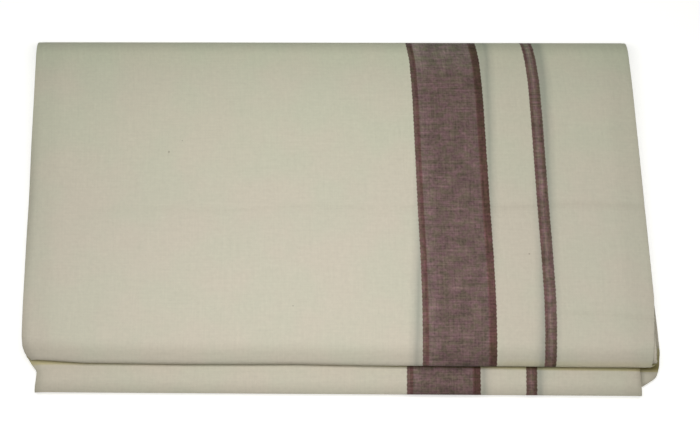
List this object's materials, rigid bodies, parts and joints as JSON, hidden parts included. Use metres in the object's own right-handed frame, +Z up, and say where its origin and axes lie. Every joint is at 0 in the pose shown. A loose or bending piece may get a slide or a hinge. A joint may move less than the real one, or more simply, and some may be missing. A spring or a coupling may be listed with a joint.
{
  "type": "folded dhoti cloth",
  "caption": "Cotton dhoti cloth with a wide and a narrow woven stripe, folded into a flat rectangular packet with soft rolled folds.",
  "frame": {"origin": "centre of the packet's outline on the table it lies on", "axes": "+X across the packet, toward the woven stripes; +Y toward the thick far fold; +Z up from the table"},
  "size_m": [0.4328, 0.256, 0.0223],
  "materials": {
    "outer_layer": "plain woven unbleached cotton, pressed",
    "lower_flap": "plain woven unbleached cotton, pressed",
    "hidden_layers": "plain woven unbleached cotton, pressed"
  },
  "bodies": {
    "root": {"outer_layer": "outer_layer", "lower_flap": "lower_flap", "hidden_layers": "hidden_layers"}
  },
  "joints": []
}
